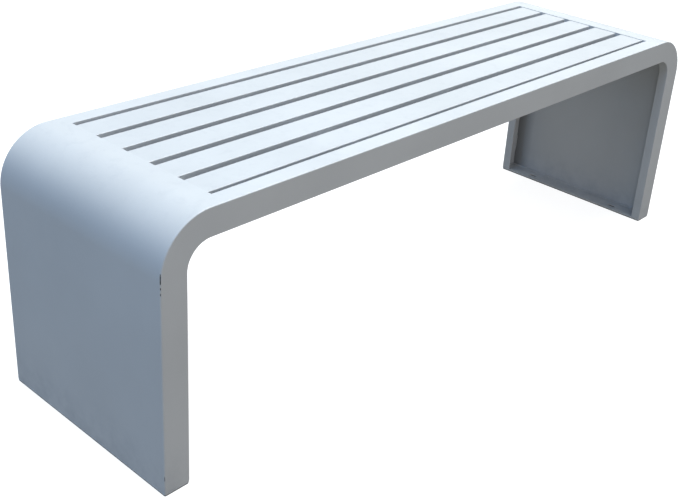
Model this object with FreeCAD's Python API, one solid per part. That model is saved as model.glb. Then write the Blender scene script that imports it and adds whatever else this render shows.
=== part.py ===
import FreeCAD, Part
import math
import os

# Waterfall garden bench, in millimetres.  A folded steel sheet runs up one leg, across the
# seat and down the other leg.  Two U-shaped plates stand at its front and rear, each with a
# lip along its inside edge, so the legs and the seat are shallow trays, open on the inside.
# Five tubes make the slatted seat, and each leg stands on a slotted foot plate with a pad.
# Origin: middle of the footprint, on the floor.  +X along the length, -Y to the front, +Z up.

# ---- driving dimensions ----
LENGTH = 1450.0
DEPTH = 400.0
HEIGHT = 450.0
SECTION = 46.0          # thickness of the seat and of the legs, seen from the front
OUTER_BEND = 88.0       # outside radius where the legs turn into the seat

SKIN = 1.5              # folded sheet
FASCIA = 3.0            # front and rear U plates
FASCIA_EDGE = 1.5       # rounding of the ground outer edges
LIP = 2.0
LIP_REACH = 20.0        # free edge of the lip, from the front or the rear face

OPENING_LENGTH = 1222.0
OPENING_DEPTH = 336.5
RIM_BAR = 3.0           # bar on edge under each long side of the opening

SLAT_COUNT = 5
SLAT_PITCH = 66.5
SLAT_SHIFT = 1.5        # the group of slats sits this far to the rear of the middle
SLAT_WIDTH = 52.5
SLAT_HEIGHT = 25.0
SLAT_WALL = 2.0
SLAT_CORNER = 1.2

LEDGE = 3.0             # thickness of the angle that carries the slat ends
LEDGE_REACH = 30.0

BEARER_WIDTH = 30.0
BEARER_HEIGHT = 15.0
BEARER_WALL = 1.5
BEARER_CORNER = 1.5
BEARER_SPACING = 305.0

PAD = 2.0
PAD_INSET = 0.5
FOOT_PLATE = 3.0
ANCHOR_FROM_END = 28.0  # slot centre to the end face of the leg
ANCHOR_SPACING = 230.0
ANCHOR_WIDTH = 9.0
ANCHOR_LENGTH = 22.0

# ---- worked out from them ----
BASE = PAD + FOOT_PLATE                 # where the leg plates stand
INSIDE = DEPTH / 2 - FASCIA             # clear half width between the U plates
SLAT_TOP = HEIGHT - SKIN
SLAT_BOTTOM = SLAT_TOP - SLAT_HEIGHT
ALONG_Y = FreeCAD.Vector(0, 1, 0)


def point(x, z):
    return FreeCAD.Vector(x, 0, z)


def bend(side, radius, start_angle, end_angle):
    """Arc about the bend centre at the left (-1) or right (+1) end of the seat."""
    centre_x = side * (LENGTH / 2 - OUTER_BEND)
    centre_z = HEIGHT - OUTER_BEND

    def on_arc(degrees):
        turn = math.radians(degrees)
        return point(centre_x + radius * math.cos(turn), centre_z + radius * math.sin(turn))

    middle = (start_angle + end_angle) / 2
    return Part.Arc(on_arc(start_angle), on_arc(middle), on_arc(end_angle)).toShape()


def u_line(inset):
    """The U line, left foot to right foot, that runs INSET inside the outer face."""
    radius = OUTER_BEND - inset
    end_x = LENGTH / 2 - inset
    flat_x = LENGTH / 2 - OUTER_BEND
    flat_z = HEIGHT - OUTER_BEND
    top = HEIGHT - inset
    return [
        Part.makeLine(point(-end_x, BASE), point(-end_x, flat_z)),
        bend(-1, radius, 180, 90),
        Part.makeLine(point(-flat_x, top), point(flat_x, top)),
        bend(1, radius, 90, 0),
        Part.makeLine(point(end_x, flat_z), point(end_x, BASE)),
    ]


def u_band(outer_inset, inner_inset, y_from, y_to):
    """Solid between two U lines, from Y_FROM to Y_TO."""
    left = Part.makeLine(
        point(-LENGTH / 2 + inner_inset, BASE), point(-LENGTH / 2 + outer_inset, BASE))
    right = Part.makeLine(
        point(LENGTH / 2 - outer_inset, BASE), point(LENGTH / 2 - inner_inset, BASE))
    edges = [left] + u_line(outer_inset) + [right] + u_line(inner_inset)
    outline = Part.Wire(Part.__sortEdges__(edges))
    face = Part.Face(outline)
    face.translate(FreeCAD.Vector(0, y_from, 0))
    return face.extrude(FreeCAD.Vector(0, y_to - y_from, 0))


def block(x_from, x_to, y_from, y_to, z_from, z_to):
    corner = FreeCAD.Vector(x_from, y_from, z_from)
    return Part.makeBox(x_to - x_from, y_to - y_from, z_to - z_from, corner)


def edges_along(shape, direction):
    """Straight edges parallel to DIRECTION."""
    found = []
    for edge in shape.Edges:
        along = edge.tangentAt(edge.FirstParameter)
        if isinstance(edge.Curve, Part.Line) and abs(along.dot(direction)) > 0.999:
            found.append(edge)
    return found


def tube(x_from, x_to, y_from, y_to, z_from, z_to, wall, corner, direction):
    """Open-ended rectangular tube along DIRECTION (the X or the Y axis)."""
    outside = block(x_from, x_to, y_from, y_to, z_from, z_to)
    outside = outside.makeFillet(corner, edges_along(outside, direction))
    wall_x = 0 if direction.x else wall
    wall_y = 0 if direction.y else wall
    inside = block(
        x_from + wall_x, x_to - wall_x, y_from + wall_y, y_to - wall_y, z_from + wall, z_to - wall)
    return outside.cut(inside)


def mirrored_y(shape):
    return shape.mirror(FreeCAD.Vector(0, 0, 0), ALONG_Y)


def mirrored_x(shape):
    return shape.mirror(FreeCAD.Vector(0, 0, 0), FreeCAD.Vector(1, 0, 0))


def outer_skin():
    """Folded sheet: both leg panels, both bends and the seat rim, in one piece."""
    sheet = u_band(0, SKIN, -INSIDE, INSIDE)
    opening = block(
        -OPENING_LENGTH / 2, OPENING_LENGTH / 2,
        -OPENING_DEPTH / 2, OPENING_DEPTH / 2,
        HEIGHT - 2 * SKIN, HEIGHT + SKIN)
    return sheet.cut(opening)


def front_fascia():
    """U plate along the front, with its outer edges ground round."""
    front = -DEPTH / 2
    plate = u_band(0, SECTION, front, front + FASCIA)
    outer_edges = []
    for edge in plate.Edges:
        middle = edge.CenterOfMass
        on_front = abs(edge.BoundBox.YMax - front) < 0.01
        if on_front and middle.z > BASE + 0.01:
            outer_edges.append(edge)
    return plate.makeFillet(FASCIA_EDGE, outer_edges)


def front_lip():
    """Strip along the inside edge of the U plate, from foot to foot."""
    return u_band(SECTION - LIP, SECTION, -INSIDE, -DEPTH / 2 + LIP_REACH)


def front_rim_bar():
    """Bar on edge that stiffens the rim along the front of the opening."""
    return block(
        -OPENING_LENGTH / 2, OPENING_LENGTH / 2,
        -OPENING_DEPTH / 2 - RIM_BAR, -OPENING_DEPTH / 2,
        SLAT_BOTTOM, SLAT_TOP)


def slat(number):
    """Seat tube, counted from the front, as long as the opening."""
    middle = (number - (SLAT_COUNT + 1) / 2) * SLAT_PITCH + SLAT_SHIFT
    return tube(
        -OPENING_LENGTH / 2, OPENING_LENGTH / 2,
        middle - SLAT_WIDTH / 2, middle + SLAT_WIDTH / 2,
        SLAT_BOTTOM, SLAT_TOP,
        SLAT_WALL, SLAT_CORNER, FreeCAD.Vector(1, 0, 0))


def right_slat_ledge():
    """Angle under the edge of the rim that closes the slat ends and carries them."""
    inner_x = OPENING_LENGTH / 2
    upright = block(
        inner_x, inner_x + LEDGE, -INSIDE, INSIDE, SLAT_BOTTOM - LEDGE, SLAT_TOP)
    shelf = block(
        inner_x + LEDGE - LEDGE_REACH, inner_x, -INSIDE, INSIDE, SLAT_BOTTOM - LEDGE, SLAT_BOTTOM)
    return upright.fuse(shelf).removeSplitter()


def bearer(middle_x):
    """Cross tube under the slats and the rim bars, from one U plate to the other."""
    return tube(
        middle_x - BEARER_WIDTH / 2, middle_x + BEARER_WIDTH / 2,
        -INSIDE, INSIDE,
        SLAT_BOTTOM - BEARER_HEIGHT, SLAT_BOTTOM,
        BEARER_WALL, BEARER_CORNER, ALONG_Y)


def anchor_slot(x, y, z_from, z_to):
    """Cutter for one anchor slot, long along Y."""
    radius = ANCHOR_WIDTH / 2
    half_straight = (ANCHOR_LENGTH - ANCHOR_WIDTH) / 2
    height = z_to - z_from
    cutter = block(x - radius, x + radius, y - half_straight, y + half_straight, z_from, z_to)
    for end in (-1, 1):
        centre = FreeCAD.Vector(x, y + end * half_straight, z_from)
        cutter = cutter.fuse(Part.makeCylinder(radius, height, centre))
    return cutter.removeSplitter()


def with_anchor_slots(plate):
    """Cut both anchor slots of the right foot through PLATE."""
    x = LENGTH / 2 - ANCHOR_FROM_END
    for side in (-1, 1):
        plate = plate.cut(anchor_slot(x, side * ANCHOR_SPACING / 2, -1, BASE + 1))
    return plate


def right_foot_plate():
    """Plate across the bottom of the leg, with two anchor slots."""
    plate = block(
        LENGTH / 2 - SECTION, LENGTH / 2, -DEPTH / 2, DEPTH / 2, PAD, BASE)
    plate = plate.makeFillet(FASCIA_EDGE, edges_along(plate, FreeCAD.Vector(0, 0, 1)))
    return with_anchor_slots(plate)


def right_foot_pad():
    """Thin rubber strip under the foot plate, set in from its edges."""
    pad = block(
        LENGTH / 2 - SECTION + PAD_INSET, LENGTH / 2 - PAD_INSET,
        -DEPTH / 2 + PAD_INSET, DEPTH / 2 - PAD_INSET, 0, PAD)
    return with_anchor_slots(pad)


def bench():
    """Every piece by name."""
    pieces = {"outer_skin": outer_skin()}
    for name, shape in (
            ("fascia", front_fascia()), ("lip", front_lip()), ("rim_bar", front_rim_bar())):
        pieces["front_" + name] = shape
        pieces["rear_" + name] = mirrored_y(shape)
    for number in range(1, SLAT_COUNT + 1):
        pieces["slat_%d" % number] = slat(number)
    for name, shape in (
            ("slat_ledge", right_slat_ledge()),
            ("foot_plate", right_foot_plate()),
            ("foot_pad", right_foot_pad())):
        pieces[name + "_right"] = shape
        pieces[name + "_left"] = mirrored_x(shape)
    for name, x in (("left", -BEARER_SPACING), ("centre", 0), ("right", BEARER_SPACING)):
        pieces["bearer_" + name] = bearer(x)
    return pieces


os.makedirs("parts", exist_ok=True)
for node, shape in bench().items():
    if not shape.isValid() or len(shape.Solids) != 1:
        raise ValueError("%s is not one valid solid" % node)
    shape.exportStep("parts/%s.step" % node)
    print("%-18s %9.0f mm3" % (node, shape.Volume))
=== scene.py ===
import math
import random

import bmesh
import bpy
from mathutils import Matrix, Vector


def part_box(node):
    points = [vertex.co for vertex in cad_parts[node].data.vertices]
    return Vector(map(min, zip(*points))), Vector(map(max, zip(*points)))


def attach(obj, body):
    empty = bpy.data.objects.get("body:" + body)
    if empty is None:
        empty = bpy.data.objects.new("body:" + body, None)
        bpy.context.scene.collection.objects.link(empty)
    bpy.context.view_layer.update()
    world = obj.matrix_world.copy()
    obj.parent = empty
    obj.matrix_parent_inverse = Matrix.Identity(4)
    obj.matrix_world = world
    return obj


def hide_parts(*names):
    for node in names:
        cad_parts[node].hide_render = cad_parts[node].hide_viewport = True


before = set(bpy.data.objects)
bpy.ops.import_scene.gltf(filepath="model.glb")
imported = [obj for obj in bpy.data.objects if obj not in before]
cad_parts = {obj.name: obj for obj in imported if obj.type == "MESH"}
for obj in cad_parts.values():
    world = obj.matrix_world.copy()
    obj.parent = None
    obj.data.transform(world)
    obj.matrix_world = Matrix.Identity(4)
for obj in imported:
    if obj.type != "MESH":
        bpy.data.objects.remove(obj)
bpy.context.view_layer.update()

# A waterfall garden bench of powder-coated sheet steel.  Every visible piece is rebuilt here
# with fine bends and rounded edges, in the place of its CAD node.  Metres, +Z up, -Y front.

BODY = "root"
MM = 0.001

# ---- sizes that the node boxes don't give ----
OUTER_BEND = 88 * MM        # outside radius of the two corners of the U
BEND_STEPS = 40             # segments in each quarter turn
LEG_EDGE = 2.6 * MM         # outer edges of the U plates, ground round along the legs
SEAT_EDGE = 1.4 * MM        # and less so along the seat
INSIDE_EDGE = 0.8 * MM      # inner edges of the U plates
SHEET_EDGE = 0.12 * MM      # cut edges of the sheet round the seat opening
SEAM_EDGE = 0.55 * MM       # both sides of the joint above the foot plate
SLAT_CORNER = 1.2 * MM
SLAT_WALL = 2 * MM
BEARER_CORNER = 1.5 * MM
BEARER_WALL = 1.5 * MM
LEDGE_SHEET = 3 * MM
LIP_EDGE = 0.5 * MM
BAR_EDGE = 0.6 * MM         # rim bars and the angles at the slat ends
PAD_EDGE = 0.3 * MM
TUBE_BORE = 0.3 * MM        # least corner radius inside a tube
SHARP = math.radians(50)    # faces that meet at more than this have a sharp edge
ANCHOR_LENGTH = 22 * MM
ANCHOR_WIDTH = 9 * MM
ANCHOR_SPACING = 230 * MM
ANCHOR_X = 697 * MM         # from the middle of the bench

# ---- sizes read from the frame ----
SKIN_LOW, SKIN_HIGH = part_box("outer_skin")
FASCIA_LOW, FASCIA_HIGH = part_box("front_fascia")
LIP_LOW, LIP_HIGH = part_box("front_lip")
BAR_LOW, BAR_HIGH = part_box("front_rim_bar")
PLATE_LOW, PLATE_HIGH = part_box("foot_plate_right")
SLAT_LOW, SLAT_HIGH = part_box("slat_1")
LEDGE_LOW, LEDGE_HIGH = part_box("slat_ledge_right")
HALF_LENGTH = SKIN_HIGH.x
TOP = SKIN_HIGH.z
BASE = SKIN_LOW.z
SKIN = TOP - SLAT_HIGH.z                        # thickness of the folded sheet
SECTION = PLATE_HIGH.x - PLATE_LOW.x            # depth of the U, seen from the front
LIP = LIP_HIGH.x - (HALF_LENGTH - SECTION)      # thickness of the lip strips
DEPTH = -2 * FASCIA_LOW.y
FASCIA = FASCIA_HIGH.y - FASCIA_LOW.y           # thickness of the U plates
OPENING_X = SLAT_HIGH.x                         # half length of the seat opening
OPENING_Y = -BAR_HIGH.y                         # half depth of the seat opening

SLATS = range(1, 6)
BEARERS = ("left", "centre", "right")
ENDS = ("left", "right")

# ---- welds ----
BAR_WELD = 30 * MM          # short beads along the rim bars
BAR_WELD_PITCH = 145 * MM
LEG_WELD = 40 * MM          # short beads up the inside corners of the legs
LEG_WELD_PITCH = 115 * MM
LEG_WELD_FIRST = 45 * MM
BEAD_SINK = 1.0 * MM        # how far a bead's middle stays off the thin sheet
SLAT_BEAD = 1.6 * MM        # bead radii
SEAT_BEAD = 1.8 * MM
LEG_BEAD = 2.0 * MM
FOOT_BEAD = 2.2 * MM
RIPPLE = 2.2 * MM           # from one ripple of a bead to the next
SLAT_BEAD_INSET = 6 * MM    # from the edge of a slat to the end of its bead
BEARER_BEAD_INSET = 2 * MM
FOOT_BEAD_INSET = 4 * MM
GAP_DEPTH = 1.3 * MM
EDGE_GAPS = (               # middle height, height and width of each unfilled stretch
    (369.5 * MM, 17 * MM, 2.0 * MM),
    (355 * MM, 4 * MM, 1.4 * MM),
    (346 * MM, 4 * MM, 1.2 * MM),
    (33 * MM, 9 * MM, 0.9 * MM),
)

# ---- light ----
SKY_LIGHT = (0.36, 0.41, 0.48)
GROUND_LIGHT = (0.22, 0.22, 0.20)
HORIZON_BLUR = 0.1
SOFTBOXES = (               # name, place, size, power in watts, colour
    ("overhead", (1, 0, 4), 2, 185, (0.97, 1.0, 0.95)),
    ("front_fill", (0, -4, 1), 2, 24, (1.0, 0.9, 0.75)),
    ("left_fill", (-3, 0, 3), 2, 40, (0.3, 0.6, 1.0)),
)

# ---- camera: where it stands, how it is turned, lens and framing ----
CAMERA_PLACE = (-1.468, -1.190, 1.082)
CAMERA_AZIMUTH = math.radians(-49.55)
CAMERA_ELEVATION = math.radians(25.80)
CAMERA_ROLL = math.radians(4.27)
CAMERA_LENS = 55.9
CAMERA_SHIFT = (-0.046, -0.060)


# ==== mesh helpers ====

def make_object(name, bm, material):
    """Link the bmesh as a smooth-shaded object with one material."""
    bmesh.ops.recalc_face_normals(bm, faces=bm.faces)
    mesh = bpy.data.meshes.new(name)
    bm.to_mesh(mesh)
    bm.free()
    for polygon in mesh.polygons:
        polygon.use_smooth = True
    mesh.materials.append(material)
    piece = bpy.data.objects.new(name, mesh)
    bpy.context.scene.collection.objects.link(piece)
    return piece


def finish_piece(piece, slot, *nodes):
    """Say what the piece rides on and what it stands for; SLOT, the finish name, is not used."""
    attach(piece, BODY)
    if nodes:
        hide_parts(*nodes)
    return piece


def round_edges(piece, width, segments=3, width_at=None):
    """Round the sharp edges by WIDTH, or by WIDTH_AT(middle of the edge) where that is given."""
    modifier = piece.modifiers.new("rounded", "BEVEL")
    modifier.width = width
    modifier.segments = segments
    modifier.harden_normals = True
    modifier.use_clamp_overlap = True
    modifier.limit_method = "ANGLE"
    modifier.angle_limit = SHARP
    if width_at is None:
        return
    modifier.limit_method = "WEIGHT"
    mesh = piece.data
    weights = mesh.attributes.new("bevel_weight_edge", "FLOAT", "EDGE").data
    for index in sharp_edges(mesh):
        ends = [mesh.vertices[i].co for i in mesh.edges[index].vertices]
        weights[index].value = width_at((ends[0] + ends[1]) / 2) / width
        mesh.edges[index].use_edge_sharp = weights[index].value == 0


def flatten_faces(piece):
    """Keep wide faces flat in the shading: sharp ends, and normals led by the largest face."""
    piece.data.set_sharp_from_angle(angle=SHARP)
    modifier = piece.modifiers.new("flat", "WEIGHTED_NORMAL")
    modifier.weight = 100
    modifier.keep_sharp = True
    return piece


def sharp_edges(mesh):
    """Indices of the edges whose two faces meet at more than 50 degrees."""
    bm = bmesh.new()
    bm.from_mesh(mesh)
    found = {e.index for e in bm.edges if e.calc_face_angle(0) > SHARP}
    bm.free()
    return found


def place_on_u(x, z):
    """How far inside the outer face, and how far round the bend: 0 on the seat, 1 on a leg."""
    out = abs(x) - (HALF_LENGTH - OUTER_BEND)
    up = z - (TOP - OUTER_BEND)
    if out <= 0:
        return TOP - z, 0.0
    if up <= 0:
        return HALF_LENGTH - abs(x), 1.0
    return OUTER_BEND - math.hypot(out, up), math.atan2(out, up) / math.radians(90)


def u_stations(inset, base):
    """Points (x, z) of the U line INSET inside the outer face, left foot to right foot."""
    radius = OUTER_BEND - inset
    centre_x = HALF_LENGTH - OUTER_BEND
    centre_z = TOP - OUTER_BEND
    points = [(-HALF_LENGTH + inset, base)]
    for side, start in ((-1, 180), (1, 90)):
        for step in range(BEND_STEPS + 1):
            turn = math.radians(start - 90 * step / BEND_STEPS)
            points.append((side * centre_x + radius * math.cos(turn),
                           centre_z + radius * math.sin(turn)))
    points.append((HALF_LENGTH - inset, base))
    return points


def u_band(name, material, outer_inset, inner_inset, y_from, y_to, base):
    """Solid between two U lines."""
    bm = bmesh.new()
    outer = u_stations(outer_inset, base)
    inner = u_stations(inner_inset, base)
    rings = []
    for (ox, oz), (ix, iz) in zip(outer, inner):
        corners = ((ox, y_from, oz), (ox, y_to, oz), (ix, y_to, iz), (ix, y_from, iz))
        rings.append([bm.verts.new(c) for c in corners])
    for one, two in zip(rings, rings[1:]):
        for i in range(4):
            j = (i + 1) % 4
            bm.faces.new((one[i], one[j], two[j], two[i]))
    bm.faces.new(rings[0])
    bm.faces.new(reversed(rings[-1]))
    return make_object(name, bm, material)


def folded_sheet(name, material):
    """The outer sheet, swept along the U, with the seat opening cut out of its flat top."""
    bm = bmesh.new()
    ys = (SKIN_LOW.y, -OPENING_Y, OPENING_Y, SKIN_HIGH.y)
    rows = []
    opening_rows = []
    for inset in (0, SKIN):
        line = u_stations(inset, BASE)
        middle = BEND_STEPS + 2
        flat_z = line[middle][1]
        line[middle:middle] = [(-OPENING_X, flat_z), (OPENING_X, flat_z)]
        opening_rows = (middle, middle + 1)
        rows.append([[bm.verts.new((x, y, z)) for y in ys] for x, z in line])
    outer, inner = rows
    last = len(outer) - 1
    for i in range(last):
        for j in range(3):
            if i == opening_rows[0] and j == 1:
                continue
            bm.faces.new((outer[i][j], outer[i + 1][j], outer[i + 1][j + 1], outer[i][j + 1]))
            bm.faces.new((inner[i][j], inner[i][j + 1], inner[i + 1][j + 1], inner[i + 1][j]))
        for j in (0, 3):
            bm.faces.new((outer[i][j], outer[i + 1][j], inner[i + 1][j], inner[i][j]))
    for i in (0, last):
        for j in range(3):
            bm.faces.new((outer[i][j], outer[i][j + 1], inner[i][j + 1], inner[i][j]))
    first, second = opening_rows
    for j in (1, 2):
        bm.faces.new((outer[first][j], outer[second][j], inner[second][j], inner[first][j]))
    for i in opening_rows:
        bm.faces.new((outer[i][1], outer[i][2], inner[i][2], inner[i][1]))
    return make_object(name, bm, material)


def rounded_ring(half_a, half_b, radius, steps=6):
    """Points (a, b) of a rectangle with round corners, about its middle."""
    points = []
    for corner in range(4):
        sign_a = (1, -1, -1, 1)[corner]
        sign_b = (1, 1, -1, -1)[corner]
        for step in range(steps + 1):
            turn = math.radians(90 * corner + 90 * step / steps)
            points.append((sign_a * (half_a - radius) + radius * math.cos(turn),
                           sign_b * (half_b - radius) + radius * math.sin(turn)))
    return points


def square_tube(name, material, low, high, wall, corner, along_x):
    """Hollow tube with round long edges that fills the box from LOW to HIGH."""
    bm = bmesh.new()
    middle = (low + high) / 2
    half = (high - low) / 2
    across = half.y if along_x else half.x
    run = half.x if along_x else half.y
    rings = []
    for end in (-run, run):
        for inset in (0, wall):
            radius = max(corner - inset, TUBE_BORE)
            ring = []
            for a, b in rounded_ring(across - inset, half.z - inset, radius):
                spot = Vector((end, a, b)) if along_x else Vector((a, end, b))
                ring.append(bm.verts.new(middle + spot))
            rings.append(ring)
    count = len(rings[0])
    for one, two in ((0, 2), (1, 3), (0, 1), (2, 3)):
        for i in range(count):
            j = (i + 1) % count
            bm.faces.new((rings[one][i], rings[one][j], rings[two][j], rings[two][i]))
    return flatten_faces(make_object(name, bm, material))


def prism(name, material, outline, y_from, y_to):
    """Outline of (x, z) points drawn out along Y."""
    bm = bmesh.new()
    ends = [[bm.verts.new((x, y, z)) for x, z in outline] for y in (y_from, y_to)]
    for end in ends:
        bm.faces.new(end)
    for i in range(len(outline)):
        j = (i + 1) % len(outline)
        bm.faces.new((ends[0][i], ends[0][j], ends[1][j], ends[1][i]))
    return make_object(name, bm, material)


def slotted_strip(name, material, low, high, corner):
    """Flat strip with round corners and two anchor slots that run along Y."""
    bm = bmesh.new()
    middle = (low + high) / 2
    half = (high - low) / 2
    side = 1 if middle.x > 0 else -1
    loops = [[(middle.x + a, middle.y + b) for a, b in rounded_ring(half.x, half.y, corner)]]
    for slot_side in (-1, 1):
        ring = rounded_ring(ANCHOR_WIDTH / 2, ANCHOR_LENGTH / 2, ANCHOR_WIDTH / 2 - 1e-6, 10)
        loops.append([(side * ANCHOR_X + a, slot_side * ANCHOR_SPACING / 2 + b) for a, b in ring])
    for z in (low.z, high.z):
        edges = []
        for loop in loops:
            verts = [bm.verts.new((x, y, z)) for x, y in loop]
            for i in range(len(verts)):
                edges.append(bm.edges.new((verts[i], verts[(i + 1) % len(verts)])))
        bmesh.ops.triangle_fill(bm, edges=edges, use_beauty=True)
    bm.verts.ensure_lookup_table()
    total = sum(len(loop) for loop in loops)
    start = 0
    for loop in loops:
        count = len(loop)
        for i in range(count):
            a = start + i
            b = start + (i + 1) % count
            bm.faces.new((bm.verts[a], bm.verts[b], bm.verts[b + total], bm.verts[a + total]))
        start += count
    return make_object(name, bm, material)


def weld_bead(bm, start, end, up, radius, rng):
    """Add a fillet weld from START to END: a ropy half-round bead that bulges towards UP."""
    run = end - start
    length = run.length
    along = run / length
    side = along.cross(up).normalized()
    rings = max(6, int(length / (RIPPLE / 4)))
    around = 8
    previous = None
    phase = rng.random() * math.tau
    for i in range(rings + 1):
        t = i / rings
        taper = math.sqrt(max(0.0, 1 - (2 * t - 1) ** 8))
        wave = 0.5 + 0.5 * math.cos(math.tau * t * length / RIPPLE + phase)
        size = radius * (0.12 + 0.88 * taper) * (0.88 + 0.12 * wave)
        centre = start + run * t
        ring = []
        for k in range(around):
            turn = math.tau * k / around
            offset = side * math.cos(turn) + up * math.sin(turn)
            ring.append(bm.verts.new(centre + offset * size))
        if previous:
            for k in range(around):
                j = (k + 1) % around
                bm.faces.new((previous[k], previous[j], ring[j], ring[k]))
        else:
            bm.faces.new(ring)
        previous = ring
    bm.faces.new(list(reversed(previous)))


# ==== materials ====

class Nodes:
    """Small helper that adds and links shader nodes."""

    def __init__(self, name):
        self.material = bpy.data.materials.new(name)
        self.material.use_nodes = True
        self.tree = self.material.node_tree
        self.shader = self.tree.nodes["Principled BSDF"]
        self.place = self.add("ShaderNodeTexCoord").outputs["Object"]

    def add(self, kind, **settings):
        node = self.tree.nodes.new(kind)
        for key, value in settings.items():
            setattr(node, key, value)
        return node

    def link(self, output, socket):
        self.tree.links.new(output, socket)

    def noise(self, scale, detail=2.0, roughness=0.5, stretch=None):
        node = self.add("ShaderNodeTexNoise")
        node.inputs["Scale"].default_value = scale
        node.inputs["Detail"].default_value = detail
        node.inputs["Roughness"].default_value = roughness
        place = self.place
        if stretch:
            mapping = self.add("ShaderNodeMapping")
            mapping.inputs["Scale"].default_value = stretch
            self.link(self.place, mapping.inputs["Vector"])
            place = mapping.outputs["Vector"]
        self.link(place, node.inputs["Vector"])
        return node.outputs["Fac"]

    def remap(self, value, low, high, to_low=0.0, to_high=1.0):
        node = self.add("ShaderNodeMapRange", clamp=True)
        node.inputs["From Min"].default_value = low
        node.inputs["From Max"].default_value = high
        node.inputs["To Min"].default_value = to_low
        node.inputs["To Max"].default_value = to_high
        self.link(value, node.inputs["Value"])
        return node.outputs["Result"]

    def math(self, operation, one, two):
        node = self.add("ShaderNodeMath", operation=operation)
        for socket, value in zip(node.inputs, (one, two)):
            if isinstance(value, (int, float)):
                socket.default_value = value
            else:
                self.link(value, socket)
        return node.outputs["Value"]

    def blend(self, factor, one, two):
        """Mix two colours; each is a tuple or a socket."""
        node = self.add("ShaderNodeMix", data_type="RGBA")
        self.link(factor, node.inputs[0])
        for socket, value in zip((node.inputs[6], node.inputs[7]), (one, two)):
            if isinstance(value, tuple):
                socket.default_value = (*value, 1)
            else:
                self.link(value, socket)
        return node.outputs[2]

    def bump(self, height, distance, strength, normal=None):
        node = self.add("ShaderNodeBump")
        node.inputs["Strength"].default_value = strength
        node.inputs["Distance"].default_value = distance
        self.link(height, node.inputs["Height"])
        if normal:
            self.link(normal, node.inputs["Normal"])
        return node.outputs["Normal"]


def powder_coat(name, colour, roughness):
    """Satin silver-grey powder coat: orange peel, fine flake, dust, patchy darkening low down, painted
    shade in the leg corners, rubbed edges.
    """
    n = Nodes(name)
    light = tuple(c * 1.03 for c in colour)
    dark = tuple(c * 0.95 for c in colour)
    flake_bright = tuple(min(c * 1.10, 1) for c in colour)
    rubbed = tuple(min(c * 1.16, 1) for c in colour)
    grime = tuple(c * f for c, f in zip(colour, (0.70, 0.72, 0.76)))
    # painted shade: the dark tone laid into the corners inside the legs
    corner_shade_colour = tuple(c * 0.30 for c in colour)

    cloud = n.remap(n.noise(3.1, 4, 0.55), 0.35, 0.65)
    tone = n.blend(cloud, dark, light)
    flake = n.remap(n.noise(2600, 1, 0.4), 0.58, 0.74, 0, 0.55)
    tone = n.blend(flake, tone, flake_bright)

    # patchy darkening in the lowest few centimetres
    spot = n.add("ShaderNodeSeparateXYZ")
    n.link(n.place, spot.inputs[0])
    low_down = n.remap(spot.outputs["Z"], 0.004, 0.085, 0.55, 0)
    patchy = n.remap(n.noise(38, 5, 0.62), 0.38, 0.72)
    tone = n.blend(n.math("MULTIPLY", low_down, patchy), tone, grime)

    # painted shade in the corners inside the legs, on the faces that look towards the seat, where the lips
    # and U plates keep the light out
    facing = n.add("ShaderNodeSeparateXYZ")
    geometry = n.add("ShaderNodeNewGeometry")
    n.link(geometry.outputs["Normal"], facing.inputs[0])
    inwards = n.math("MULTIPLY", spot.outputs["X"], facing.outputs["X"])
    inside = n.remap(inwards, -0.690, -0.715)
    sideways = n.math("ABSOLUTE", spot.outputs["Y"], 0)
    corner = n.remap(sideways, 0.150, 0.197, 0, 0.85)
    tone = n.blend(n.math("MULTIPLY", inside, corner), tone, corner_shade_colour)

    # thin dust and dried drops on what faces up
    upward = n.remap(facing.outputs["Z"], 0.6, 0.95)
    dust = n.remap(n.noise(55, 6, 0.68), 0.52, 0.80, 0, 0.30)
    tone = n.blend(n.math("MULTIPLY", upward, dust), tone, grime)

    # rubbed edges, found where the rounded normal leaves the true one
    bevel = n.add("ShaderNodeBevel", samples=4)
    bevel.inputs["Radius"].default_value = 1.2 * MM
    turned = n.add("ShaderNodeVectorMath", operation="DOT_PRODUCT")
    n.link(bevel.outputs["Normal"], turned.inputs[0])
    n.link(geometry.outputs["Normal"], turned.inputs[1])
    edge = n.remap(turned.outputs["Value"], 0.995, 0.90, 0, 0.7)
    broken = n.remap(n.noise(130, 3, 0.6), 0.36, 0.62)
    tone = n.blend(n.math("MULTIPLY", edge, broken), tone, rubbed)
    n.link(tone, n.shader.inputs["Base Color"])

    uneven = n.remap(n.noise(21, 4, 0.6), 0.3, 0.7, roughness - 0.05, roughness + 0.07)
    dusty = n.math("ADD", uneven, n.math("MULTIPLY", dust, 0.25))
    n.link(dusty, n.shader.inputs["Roughness"])
    n.shader.inputs["Specular IOR Level"].default_value = 0.5
    n.shader.inputs["Metallic"].default_value = 0.0

    peel = n.bump(n.noise(520, 2, 0.5), 0.05 * MM, 0.35)
    waviness = n.bump(n.noise(14, 2, 0.5), 0.6 * MM, 0.10, peel)
    n.link(waviness, n.shader.inputs["Normal"])
    return n.material


def pad_rubber(name):
    """Matt black rubber, a little dusty."""
    n = Nodes(name)
    dust = n.remap(n.noise(160, 5, 0.65), 0.45, 0.75, 0, 0.6)
    n.link(n.blend(dust, (0.018, 0.018, 0.020), (0.06, 0.06, 0.058)), n.shader.inputs["Base Color"])
    n.link(n.remap(n.noise(90, 3), 0.3, 0.7, 0.68, 0.85), n.shader.inputs["Roughness"])
    n.link(n.bump(n.noise(1500, 3), 0.1 * MM, 0.5), n.shader.inputs["Normal"])
    return n.material


def weld_metal(name, colour):
    """Coated weld: the same paint over a ropy bead."""
    n = Nodes(name)
    dark = tuple(c * 0.82 for c in colour)
    n.link(n.blend(n.noise(420, 3), dark, colour), n.shader.inputs["Base Color"])
    n.link(n.remap(n.noise(300, 2), 0.3, 0.7, 0.38, 0.55), n.shader.inputs["Roughness"])
    n.link(n.bump(n.noise(900, 3), 0.15 * MM, 0.6), n.shader.inputs["Normal"])
    return n.material


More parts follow.
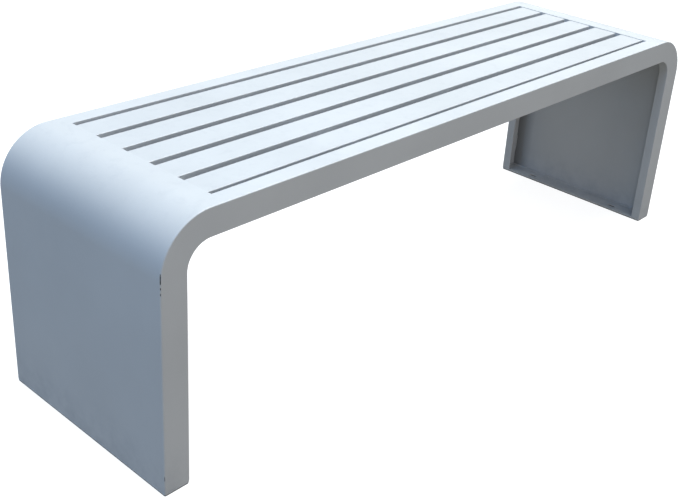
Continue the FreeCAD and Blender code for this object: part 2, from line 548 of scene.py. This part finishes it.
def bare_gap(name):
    """Dark bottom of an unfilled seam or a chip, with a trace of rust."""
    n = Nodes(name)
    rust = n.remap(n.noise(900, 4, 0.6), 0.5, 0.7)
    n.link(n.blend(rust, (0.010, 0.010, 0.012), (0.045, 0.026, 0.016)), n.shader.inputs["Base Color"])
    n.link(n.remap(n.noise(700, 3), 0.3, 0.7, 0.8, 0.95), n.shader.inputs["Roughness"])
    n.link(n.bump(n.noise(1200, 3), 0.2 * MM, 0.8), n.shader.inputs["Normal"])
    return n.material


FRAME_COLOUR = (0.58, 0.59, 0.61)
SLAT_COLOUR = (0.56, 0.57, 0.59)
frame_coat = powder_coat("frame_powder_coat", FRAME_COLOUR, 0.42)
slat_coat = powder_coat("slat_powder_coat", SLAT_COLOUR, 0.42)
rubber = pad_rubber("pad_rubber")
weld_coat = weld_metal("coated_weld", FRAME_COLOUR)
gap_dark = bare_gap("bare_gap")


# ==== pieces ====

def skin_edge(middle):
    """Rounding of the folded sheet: its cut edges, but not where it meets the U plates."""
    if middle.z < BASE + MM:
        return SEAM_EDGE
    if abs(middle.y) < OPENING_Y + MM:
        return SHEET_EDGE
    return 0


def fascia_edge(middle):
    """Rounding of a U plate: its outer face, but not where it meets the sheet and the lip."""
    if abs(middle.y) < DEPTH / 2 - MM:
        return 0
    if middle.z < FASCIA_LOW.z + MM:
        return SEAM_EDGE
    inset, turn = place_on_u(middle.x, middle.z)
    if inset > SECTION / 2:
        return INSIDE_EDGE
    return SEAT_EDGE + (LEG_EDGE - SEAT_EDGE) * turn


def side_pieces(prefix, sign):
    """U plate, lip and rim bar at the front (sign -1) or at the rear (sign +1)."""
    ends = sorted((sign * DEPTH / 2, sign * (DEPTH / 2 - FASCIA)))
    plate = u_band(prefix + "_side_plate", frame_coat, 0, SECTION, *ends, FASCIA_LOW.z)
    round_edges(plate, LEG_EDGE, 4, fascia_edge)
    finish_piece(plate, "frame_coat", prefix + "_fascia")

    ends = sorted((sign * LIP_LOW.y, sign * LIP_HIGH.y))
    strip = u_band(prefix + "_lip_strip", frame_coat, SECTION - LIP, SECTION, *ends, LIP_LOW.z)
    round_edges(strip, LIP_EDGE, 3, lip_edge)
    finish_piece(strip, "frame_coat", prefix + "_lip")

    low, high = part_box(prefix + "_rim_bar")
    outline = [(low.x, low.z), (low.x, high.z), (high.x, high.z), (high.x, low.z)]
    bar = prism(prefix + "_edge_bar", frame_coat, outline, low.y, high.y)
    round_edges(bar, BAR_EDGE, 3)
    finish_piece(bar, "frame_coat", prefix + "_rim_bar")
    return plate


def lip_edge(middle):
    """Rounding of a lip: only its free edge."""
    return LIP_EDGE if abs(middle.y) < DEPTH / 2 - FASCIA - MM else 0


def seat_pieces():
    """Slats, the angles at their ends and the bearers under them."""
    for number in SLATS:
        low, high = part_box("slat_%d" % number)
        slat = square_tube("seat_slat_%d" % number, slat_coat, low, high, SLAT_WALL, SLAT_CORNER, True)
        finish_piece(slat, "slat_coat", "slat_%d" % number)
    for name in BEARERS:
        low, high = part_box("bearer_" + name)
        bearer = square_tube(
            "cross_bearer_" + name, frame_coat, low, high, BEARER_WALL, BEARER_CORNER, False)
        finish_piece(bearer, "frame_coat", "bearer_" + name)
    for name in ENDS:
        low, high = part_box("slat_ledge_" + name)
        wall_x = high.x if name == "right" else low.x
        shelf_x = low.x if name == "right" else high.x
        inner_x = wall_x - LEDGE_SHEET if name == "right" else wall_x + LEDGE_SHEET
        outline = [(wall_x, low.z), (wall_x, high.z), (inner_x, high.z),
                   (inner_x, low.z + LEDGE_SHEET), (shelf_x, low.z + LEDGE_SHEET), (shelf_x, low.z)]
        ledge = prism("end_angle_" + name, frame_coat, outline, low.y, high.y)
        round_edges(ledge, BAR_EDGE, 2)
        finish_piece(ledge, "frame_coat", "slat_ledge_" + name)


def foot_pieces():
    """Foot plates and the rubber pads under them."""
    for name in ENDS:
        plate = slotted_strip("foot_base_" + name, frame_coat, *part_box("foot_plate_" + name), LEG_EDGE)
        round_edges(plate, SEAM_EDGE, 2)
        finish_piece(plate, "frame_coat", "foot_plate_" + name)
        pad = slotted_strip("rubber_pad_" + name, rubber, *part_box("foot_pad_" + name), LEG_EDGE)
        round_edges(pad, PAD_EDGE, 2)
        finish_piece(pad, "pad_rubber", "foot_pad_" + name)


def seat_welds(rng):
    """Short beads that hold the slats, bars, angles and bearers together under the seat."""
    bm = bmesh.new()
    down = Vector((0, 0, -1))
    slat_bottom = SLAT_LOW.z
    crossings = [LEDGE_LOW.x, -LEDGE_LOW.x]
    for name in BEARERS:
        low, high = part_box("bearer_" + name)
        crossings += [low.x, high.x]
    for x in crossings:
        for number in SLATS:
            low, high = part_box("slat_%d" % number)
            start = Vector((x, low.y + SLAT_BEAD_INSET, slat_bottom))
            end = Vector((x, high.y - SLAT_BEAD_INSET, slat_bottom))
            weld_bead(bm, start, end, down, SLAT_BEAD, rng)
    for side in (-1, 1):
        wall_y = side * (DEPTH / 2 - FASCIA)
        for name in BEARERS:
            low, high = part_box("bearer_" + name)
            for x in (low.x, high.x):
                start = Vector((x, wall_y, low.z + BEARER_BEAD_INSET))
                end = Vector((x, wall_y, high.z - BEARER_BEAD_INSET))
                weld_bead(bm, start, end, Vector((0, -side, 0)), SEAT_BEAD, rng)
        for end_side in (-1, 1):
            start = Vector((end_side * LEDGE_LOW.x, wall_y, LEDGE_LOW.z))
            end = Vector((end_side * LEDGE_HIGH.x, wall_y, LEDGE_LOW.z))
            weld_bead(bm, start, end, down, SEAT_BEAD, rng)
        bar_back = side * (OPENING_Y + (BAR_HIGH.y - BAR_LOW.y))
        for step in range(-4, 5):
            middle = step * BAR_WELD_PITCH
            start = Vector((middle - BAR_WELD / 2, bar_back, SLAT_HIGH.z - BEAD_SINK))
            end = Vector((middle + BAR_WELD / 2, bar_back, SLAT_HIGH.z - BEAD_SINK))
            weld_bead(bm, start, end, down, SEAT_BEAD, rng)
    finish_piece(make_object("seat_welds", bm, weld_coat), "frame_coat")


def leg_welds(name, side, rng):
    """Beads inside one leg: along the foot plate, and short ones up both corners."""
    bm = bmesh.new()
    panel_x = side * (HALF_LENGTH - SKIN - BEAD_SINK)
    inner_y = DEPTH / 2 - FASCIA
    foot_top = PLATE_HIGH.z
    inwards = Vector((-side, 0, 0))
    end_y = inner_y - FOOT_BEAD_INSET
    weld_bead(bm, Vector((panel_x, -end_y, foot_top)), Vector((panel_x, end_y, foot_top)),
              inwards, FOOT_BEAD, rng)
    lip_x = side * (HALF_LENGTH - SECTION + LIP)
    for y_side in (-1, 1):
        y = y_side * inner_y
        weld_bead(bm, Vector((panel_x, y, foot_top)), Vector((lip_x, y, foot_top)),
                  Vector((0, -y_side, 0)), LEG_BEAD, rng)
        for step in range(3):
            z = LEG_WELD_FIRST + step * LEG_WELD_PITCH
            weld_bead(bm, Vector((panel_x, y, z)), Vector((panel_x, y, z + LEG_WELD)),
                      inwards, LEG_BEAD, rng)
    finish_piece(make_object("leg_welds_" + name, bm, weld_coat), "frame_coat")


def gap_cutter(place, height, width, rng):
    """Ragged sliver that stands on the front left edge, to be cut out of the U plate."""
    bm = bmesh.new()
    outwards = Vector((-1, -1, 0)).normalized()
    across = Vector((1, -1, 0)).normalized()
    rings = 9
    previous = None
    for i in range(rings + 1):
        t = i / rings
        half = width / 2 * max(0.25, math.sin(math.pi * t) ** 0.35) * (0.75 + 0.5 * rng.random())
        deep = GAP_DEPTH * (0.7 + 0.5 * rng.random())
        centre = place + Vector((0, 0, height * (t - 0.5)))
        corners = (outwards * MM - across * half, outwards * MM + across * half,
                   -outwards * deep + across * half * 0.7, -outwards * deep - across * half * 0.7)
        ring = [bm.verts.new(centre + corner) for corner in corners]
        if previous:
            for k in range(4):
                j = (k + 1) % 4
                bm.faces.new((previous[k], previous[j], ring[j], ring[k]))
        else:
            bm.faces.new(ring)
        previous = ring
    bm.faces.new(list(reversed(previous)))
    return make_object("gap_cutter", bm, gap_dark)


def cut_gaps(plate, rng):
    """Cut the unfilled stretches of the edge weld, and a low chip, into the front U plate."""
    corner = LEG_EDGE * (1 - math.sqrt(0.5))
    spot = Vector((-HALF_LENGTH + corner, -DEPTH / 2 + corner, 0))
    for z, height, width in EDGE_GAPS:
        cutter = gap_cutter(spot + Vector((0, 0, z)), height, width, rng)
        modifier = plate.modifiers.new("gap", "BOOLEAN")
        modifier.operation = "DIFFERENCE"
        modifier.solver = "EXACT"
        modifier.material_mode = "TRANSFER"
        modifier.object = cutter
        apply_modifiers(plate)
        bpy.data.objects.remove(cutter)
    flatten_faces(plate)


def apply_modifiers(piece):
    """Replace the piece's mesh by what its modifiers make of it."""
    depsgraph = bpy.context.evaluated_depsgraph_get()
    made = bpy.data.meshes.new_from_object(piece.evaluated_get(depsgraph), depsgraph=depsgraph)
    old = piece.data
    piece.modifiers.clear()
    piece.data = made
    made.name = piece.name
    bpy.data.meshes.remove(old)


skin = folded_sheet("folded_sheet", frame_coat)
round_edges(skin, SEAM_EDGE, 2, skin_edge)
finish_piece(skin, "frame_coat", "outer_skin")
front_plate = side_pieces("front", -1)
side_pieces("rear", 1)
seat_pieces()
foot_pieces()
dice = random.Random(7)
cut_gaps(front_plate, dice)
seat_welds(dice)
leg_welds("left", -1, dice)
leg_welds("right", 1, dice)


# ==== stage, light and camera ====

def disc(name, radius, height, material):
    """Flat round disc at HEIGHT."""
    bm = bmesh.new()
    bmesh.ops.create_circle(bm, cap_ends=True, segments=96, radius=radius)
    bmesh.ops.translate(bm, verts=bm.verts, vec=(0, 0, height))
    return make_object(name, bm, material)


def stage_floor():
    """Plain white floor.  It shows soft shadows but throws no light back at the bench."""
    n = Nodes("floor_white")
    n.link(n.blend(n.noise(0.8, 2), (0.34, 0.34, 0.34), (0.36, 0.36, 0.36)), n.shader.inputs["Base Color"])
    n.shader.inputs["Roughness"].default_value = 0.9
    n.shader.inputs["Emission Color"].default_value = (1, 1, 1, 1)
    n.shader.inputs["Emission Strength"].default_value = 0.88
    floor = disc("floor", 40, 0, n.material)
    floor.visible_diffuse = False
    floor.visible_glossy = False
    floor.visible_shadow = False


def sky():
    """Plain world light: a pale cool sky over a slightly warm ground, with a soft horizon."""
    world = bpy.data.worlds.new("soft_sky")
    bpy.context.scene.world = world
    world.use_nodes = True
    tree = world.node_tree
    place = tree.nodes.new("ShaderNodeTexCoord").outputs["Generated"]
    split = tree.nodes.new("ShaderNodeSeparateXYZ")
    tree.links.new(place, split.inputs[0])
    rise = tree.nodes.new("ShaderNodeMapRange")
    rise.inputs["From Min"].default_value = -HORIZON_BLUR
    rise.inputs["From Max"].default_value = HORIZON_BLUR
    tree.links.new(split.outputs["Z"], rise.inputs["Value"])
    both = tree.nodes.new("ShaderNodeMix")
    both.data_type = "RGBA"
    both.inputs[6].default_value = (*GROUND_LIGHT, 1)
    both.inputs[7].default_value = (*SKY_LIGHT, 1)
    tree.links.new(rise.outputs["Result"], both.inputs[0])
    show_backdrop(tree, both.outputs[2])


def show_backdrop(tree, light):
    """Let the world light the bench, and show a plain white backdrop behind it."""
    plain = tree.nodes.new("ShaderNodeMix")
    plain.data_type = "RGBA"
    plain.inputs[7].default_value = (1, 1, 1, 1)
    seen = tree.nodes.new("ShaderNodeLightPath").outputs["Is Camera Ray"]
    tree.links.new(seen, plain.inputs[0])
    tree.links.new(light, plain.inputs[6])
    tree.links.new(plain.outputs[2], tree.nodes["Background"].inputs["Color"])


def softboxes():
    """Three large soft lamps that look at the middle of the seat."""
    for name, place, size, power, colour in SOFTBOXES:
        data = bpy.data.lights.new(name, "AREA")
        data.shape = "SQUARE"
        data.size = size
        data.energy = power
        data.color = colour
        lamp = bpy.data.objects.new(name, data)
        bpy.context.scene.collection.objects.link(lamp)
        lamp.location = place
        aim = Vector((0, 0, TOP)) - Vector(place)
        lamp.rotation_euler = aim.to_track_quat("-Z", "Y").to_euler()


def photo_camera():
    """Camera in front of the left end, turned by its azimuth, elevation and roll."""
    back = Vector((math.sin(CAMERA_AZIMUTH) * math.cos(CAMERA_ELEVATION),
                   -math.cos(CAMERA_AZIMUTH) * math.cos(CAMERA_ELEVATION),
                   math.sin(CAMERA_ELEVATION)))
    level = Vector((0, 0, 1)).cross(back).normalized()
    upright = back.cross(level)
    right = level * math.cos(CAMERA_ROLL) + upright * math.sin(CAMERA_ROLL)
    over = upright * math.cos(CAMERA_ROLL) - level * math.sin(CAMERA_ROLL)
    data = bpy.data.cameras.new("photo_camera")
    data.sensor_width = 36
    data.lens = CAMERA_LENS
    data.shift_x, data.shift_y = CAMERA_SHIFT
    data.clip_end = 200
    holder = bpy.data.objects.new("photo_camera", data)
    bpy.context.scene.collection.objects.link(holder)
    turned = Matrix((right, over, back)).transposed().to_4x4()
    holder.matrix_world = Matrix.Translation(CAMERA_PLACE) @ turned
    bpy.context.scene.camera = holder


stage_floor()
sky()
softboxes()
photo_camera()
bpy.context.scene.view_settings.view_transform = "Standard"
bpy.context.scene.view_settings.look = "None"
